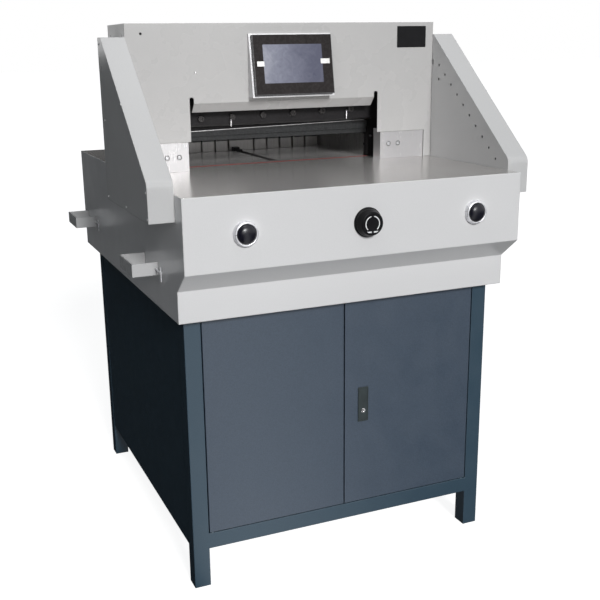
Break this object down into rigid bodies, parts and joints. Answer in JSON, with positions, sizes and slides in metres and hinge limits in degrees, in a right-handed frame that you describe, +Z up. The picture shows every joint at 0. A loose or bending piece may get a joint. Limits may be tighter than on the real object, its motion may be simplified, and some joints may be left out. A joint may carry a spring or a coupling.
{
  "type": "electric paper cutter",
  "caption": "Floor-standing electric paper cutter: cabinet stand, polished table, hooded knife and clamp, toothed backgauge, light-beam guards and front controls.",
  "frame": {"origin": "on the floor, at the centre of the overall box's bottom", "axes": "+Z up, the operator stands at -Y, +X to the operator's right"},
  "size_m": [0.974, 1.121, 1.334],
  "materials": {
    "slate_paint": "satin powder coat",
    "door_paint": "satin powder coat",
    "lock_plastic": "satin moulded",
    "chrome": "polished",
    "dark_iron": "painted casting",
    "grey_paint": "fine textured powder coat",
    "hood_paint": "fine textured powder coat",
    "table_steel": "ground and polished",
    "red_plastic": "satin moulded",
    "black_iron": "black painted casting",
    "polished_steel": "polished",
    "black_plastic": "satin moulded",
    "button_plastic": "gloss moulded",
    "knob_plastic": "satin moulded",
    "silver_bezel": "satin",
    "black_glass": "gloss",
    "tool_steel": "ground",
    "bronze": "machined",
    "motor_paint": "satin enamel",
    "clamp_iron": "painted casting",
    "cast_aluminium": "machined"
  },
  "bodies": {
    "machine": {"stand_frame": "slate_paint", "left_stand_panel": "slate_paint", "right_stand_panel": "slate_paint", "back_stand_panel": "slate_paint", "stand_floor": "slate_paint", "base_plate": "dark_iron", "left_side_plate": "grey_paint", "right_side_plate": "grey_paint", "front_panel": "grey_paint", "rear_panel": "grey_paint", "table": "table_steel", "cutting_stick": "red_plastic", "bed_frame": "dark_iron", "portal_frame": "black_iron", "left_foot_plate": "polished_steel", "right_foot_plate": "polished_steel", "right_side_gauge": "table_steel", "hood_front": "hood_paint", "hood_rear": "hood_paint", "left_guard": "hood_paint", "right_guard": "hood_paint", "left_light_bar": "black_plastic", "right_light_bar": "black_plastic", "left_button_bezel": "chrome", "right_button_bezel": "chrome", "knob_base": "black_plastic", "left_front_bracket": "grey_paint", "left_rear_bracket": "grey_paint", "right_front_bracket": "grey_paint", "right_rear_bracket": "grey_paint", "display_case": "silver_bezel", "display_screen": "black_glass", "left_slide_block": "bronze", "right_slide_block": "bronze", "knife_gearmotor": "motor_paint", "clamp_motor": "motor_paint", "backgauge_frame": "dark_iron", "backgauge_motor": "black_plastic", "cable_gland": "black_plastic"},
    "left_door": {"left_door": "door_paint"},
    "right_door": {"right_door": "door_paint", "lock_plate": "lock_plastic"},
    "lock": {"lock_core": "chrome"},
    "left_button": {"left_cut_button": "button_plastic"},
    "right_button": {"right_cut_button": "button_plastic"},
    "knob": {"speed_knob": "knob_plastic"},
    "knife": {"knife_carrier": "black_iron", "knife_blade": "tool_steel", "pull_rod": "tool_steel"},
    "crank": {"crank_disc": "tool_steel"},
    "clamp": {"clamp_bar": "clamp_iron", "clamp_lift_rods": "chrome"},
    "clamp_nut": {"clamp_nut": "bronze"},
    "backgauge": {"backgauge_comb": "cast_aluminium", "backgauge_carriage": "black_iron"},
    "lead_screw": {"lead_screw": "tool_steel"},
    "left_front_pin": {"left_front_locking_pin": "chrome"},
    "left_rear_pin": {"left_rear_locking_pin": "chrome"},
    "right_front_pin": {"right_front_locking_pin": "chrome"},
    "right_rear_pin": {"right_rear_locking_pin": "chrome"}
  },
  "joints": [
    {"name": "left_door_hinge", "type": "hinge", "parent": "machine", "child": "left_door", "pos_m": [-0.3544, -0.4325, 0.412], "axis": [0, 0, -1], "range_deg": [0, 110]},
    {"name": "right_door_hinge", "type": "hinge", "parent": "machine", "child": "right_door", "pos_m": [0.3544, -0.4325, 0.412], "axis": [0, 0, 1], "range_deg": [0, 110]},
    {"name": "lock_turn", "type": "hinge", "parent": "right_door", "child": "lock", "pos_m": [0.052, -0.4385, 0.39], "axis": [0, 1, 0], "range_deg": [0, 90]},
    {"name": "left_button_press", "type": "slide", "parent": "machine", "child": "left_button", "axis": [0, 1, 0], "range_m": [0, 0.004], "stiffness_N_per_m": 300},
    {"name": "right_button_press", "type": "slide", "parent": "machine", "child": "right_button", "axis": [0, 1, 0], "range_m": [0, 0.004], "stiffness_N_per_m": 300},
    {"name": "knob_turn", "type": "hinge", "parent": "machine", "child": "knob", "pos_m": [0.01, -0.5348, 0.889], "axis": [0, 1, 0], "continuous": true},
    {"name": "knife_slide", "type": "slide", "parent": "machine", "child": "knife", "axis": [-0.4419, 0, -0.8971], "range_m": [0, 0.11314]},
    {"name": "crank_spin", "type": "hinge", "parent": "machine", "child": "crank", "pos_m": [-0.34, -0.053, 0.83425], "axis": [0, 1, 0], "range_deg": [0, 180]},
    {"name": "clamp_slide", "type": "slide", "parent": "machine", "child": "clamp", "axis": [0, 0, -1], "range_m": [0, 0.0625]},
    {"name": "clamp_nut_spin", "type": "hinge", "parent": "machine", "child": "clamp_nut", "pos_m": [0, 0.0105, 1.2123], "axis": [0, 0, 1], "range_deg": [0, 2813]},
    {"name": "backgauge_slide", "type": "slide", "parent": "machine", "child": "backgauge", "axis": [0, -1, 0], "range_m": [-0.16, 0.24]},
    {"name": "lead_screw_spin", "type": "hinge", "parent": "machine", "child": "lead_screw", "pos_m": [0, 0.2955, 0.922], "axis": [0, 1, 0], "range_deg": [-5761, 8641]},
    {"name": "left_front_pin_pull", "type": "slide", "parent": "machine", "child": "left_front_pin", "axis": [0, -1, 0], "range_m": [0, 0.015]},
    {"name": "left_rear_pin_pull", "type": "slide", "parent": "machine", "child": "left_rear_pin", "axis": [0, -1, 0], "range_m": [0, 0.015]},
    {"name": "right_front_pin_pull", "type": "slide", "parent": "machine", "child": "right_front_pin", "axis": [0, -1, 0], "range_m": [0, 0.015]},
    {"name": "right_rear_pin_pull", "type": "slide", "parent": "machine", "child": "right_rear_pin", "axis": [0, -1, 0], "range_m": [0, 0.015]}
  ],
  "couplings": [
    {"joint": "crank_spin", "follows": "knife_slide", "rad_per_m": 27.765},
    {"joint": "clamp_nut_spin", "follows": "clamp_slide", "rad_per_m": 785.4},
    {"joint": "lead_screw_spin", "follows": "backgauge_slide", "rad_per_m": 628.32}
  ]
}
